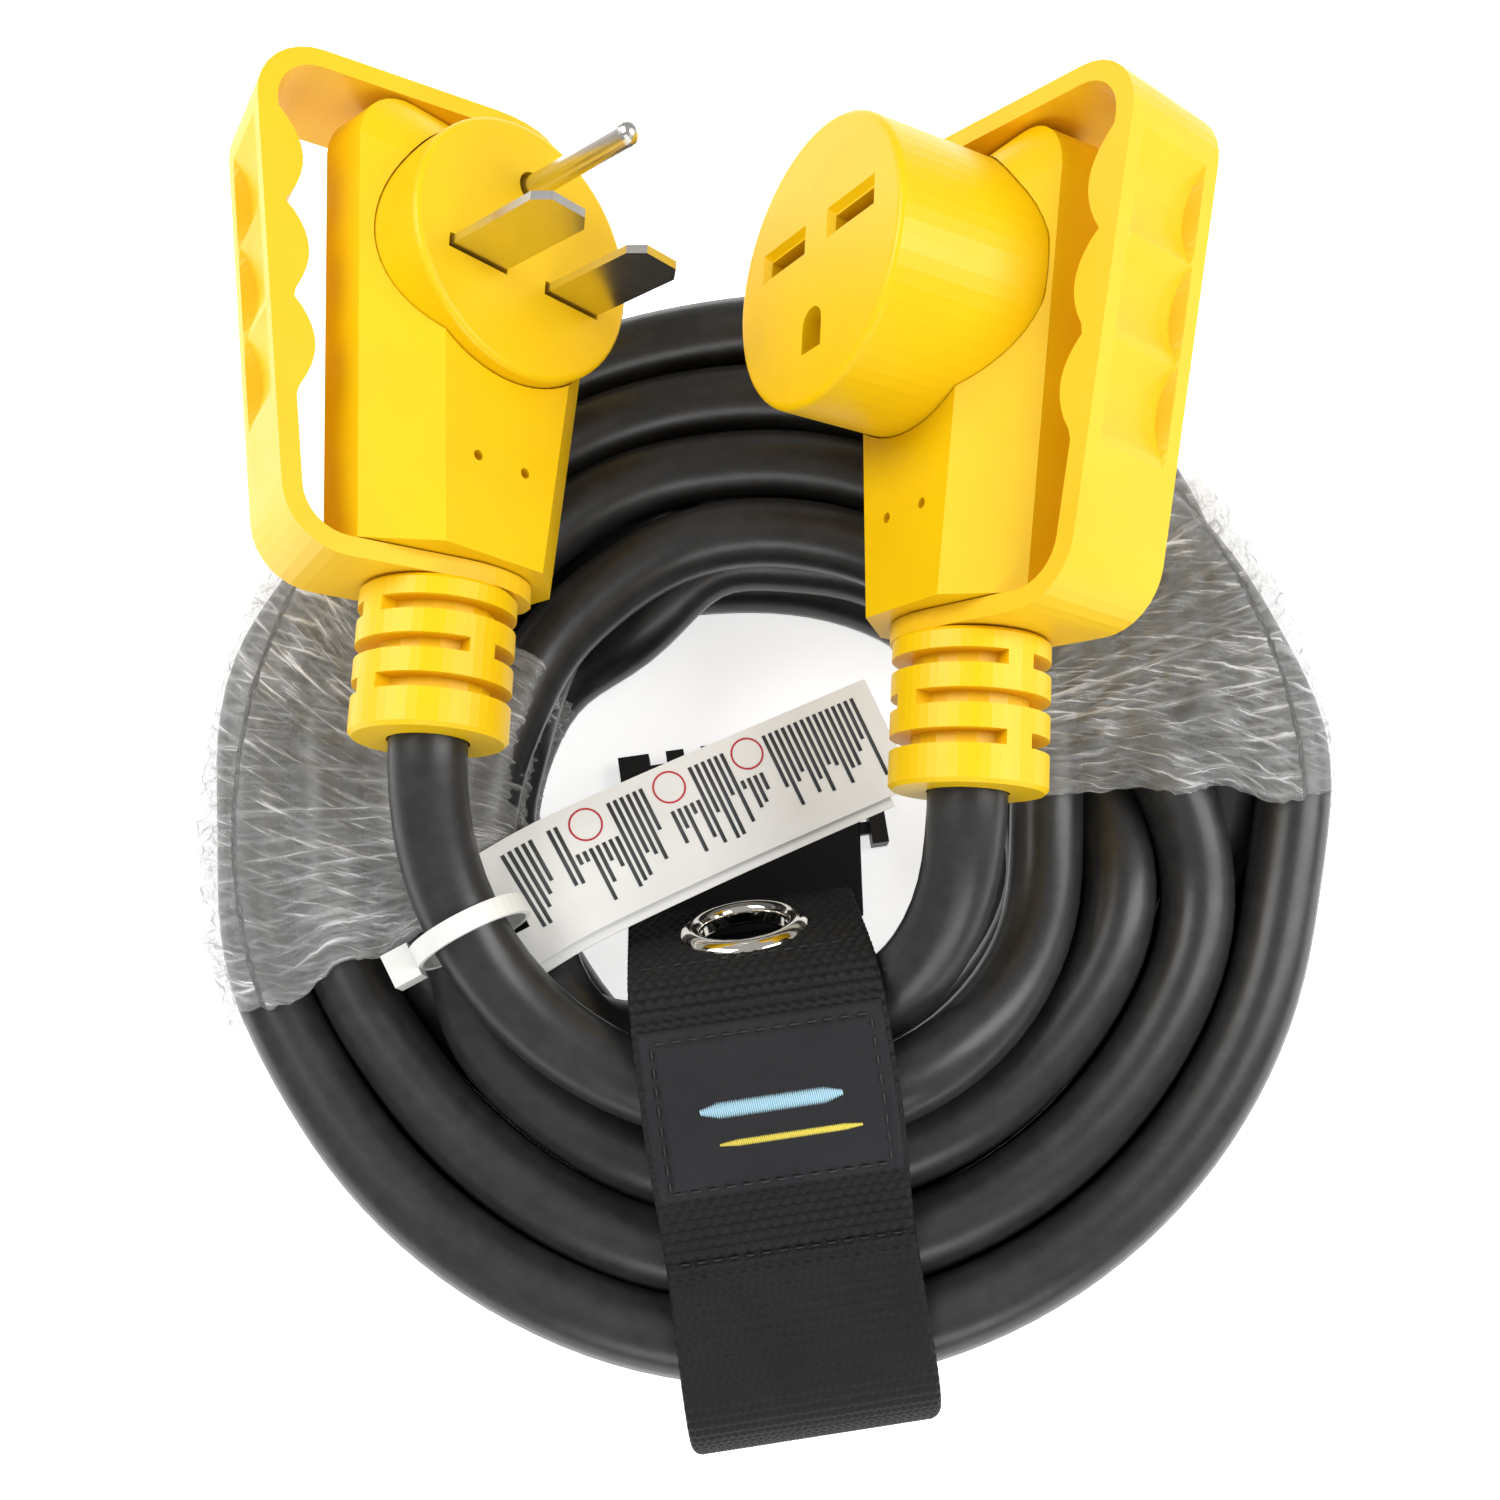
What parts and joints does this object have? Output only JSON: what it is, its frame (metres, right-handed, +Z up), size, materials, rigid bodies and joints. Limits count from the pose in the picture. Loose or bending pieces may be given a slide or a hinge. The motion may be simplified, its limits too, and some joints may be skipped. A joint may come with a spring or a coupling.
{
  "type": "shore power cord",
  "caption": "Coiled round-cable shore power cord with a grip-handled plug and connector, strap with hanging grommet, paper tag and clear storage film.",
  "frame": {"origin": "centre of the footprint on the ground, under the coil", "axes": "+Z up from the ground, +Y from the strap towards the plug and connector, +X to the right seen from the strap's side"},
  "size_m": [0.2504, 0.279, 0.1301],
  "materials": {
    "yellow_body": "satin moulded yellow",
    "yellow_handle": "satin moulded yellow, a little paler",
    "contact_brass": "satin",
    "bright_metal": "bright nickel",
    "insulation_black": "smooth",
    "insulation_red": "smooth",
    "insulation_green": "smooth",
    "cable_jacket": "semi-gloss ribbed by the strand lay",
    "strap_webbing": "coarse woven",
    "strap_label": "fine woven, stitched edge",
    "buckle_plastic": "moulded",
    "tag_paper": "coated paper",
    "tie_nylon": "moulded nylon",
    "clear_film": "clear crinkled wrap",
    "carrier_grey": "moulded"
  },
  "bodies": {
    "cord": {"cable_coil": "cable_jacket", "cable_lead_connector": "cable_jacket", "cable_lead_plug": "cable_jacket", "connector_conductor_ground": "insulation_green", "connector_conductor_line_1": "insulation_black", "connector_conductor_line_2": "insulation_red", "connector_contact_carrier": "carrier_grey", "connector_contact_ground": "contact_brass", "connector_contact_line_1": "contact_brass", "connector_contact_line_2": "contact_brass", "connector_face": "yellow_body", "connector_handle_pivot": "bright_metal", "connector_shell": "yellow_body", "connector_strain_relief": "yellow_body", "film_wrap_left": "clear_film", "film_wrap_right": "clear_film", "grommet_flange": "bright_metal", "grommet_washer": "bright_metal", "plug_blade_line_1": "bright_metal", "plug_blade_line_2": "bright_metal", "plug_conductor_ground": "insulation_green", "plug_conductor_line_1": "insulation_black", "plug_conductor_line_2": "insulation_red", "plug_contact_carrier": "carrier_grey", "plug_face": "yellow_body", "plug_ground_pin": "bright_metal", "plug_handle_pivot": "bright_metal", "plug_shell": "yellow_body", "plug_strain_relief": "yellow_body", "strap_buckle": "buckle_plastic", "strap_label": "strap_label", "strap_webbing": "strap_webbing"},
    "plug_handle_body": {"plug_handle": "yellow_handle"},
    "connector_handle_body": {"connector_handle": "yellow_handle"},
    "tag_body": {"tag_tie": "tie_nylon", "tag_front_leaf": "tag_paper", "tag_back_leaf": "tag_paper"}
  },
  "joints": [
    {"name": "plug_handle_swivel", "type": "hinge", "parent": "cord", "child": "plug_handle_body", "pos_m": [-0.0676, 0.03885, 0.0768], "axis": [0.029, 0.9995, 0.011], "range_deg": [-48, 50]},
    {"name": "connector_handle_swivel", "type": "hinge", "parent": "cord", "child": "connector_handle_body", "pos_m": [0.0405, 0.02845, 0.0786], "axis": [0.05, 0.9964, 0.069], "range_deg": [-30, 76]},
    {"name": "tag_swing", "type": "hinge", "parent": "cord", "child": "tag_body", "pos_m": [-0.06141, -0.03223, 0.06116], "axis": [0.4774, -0.8787, 0], "range_deg": [0, 5]}
  ]
}
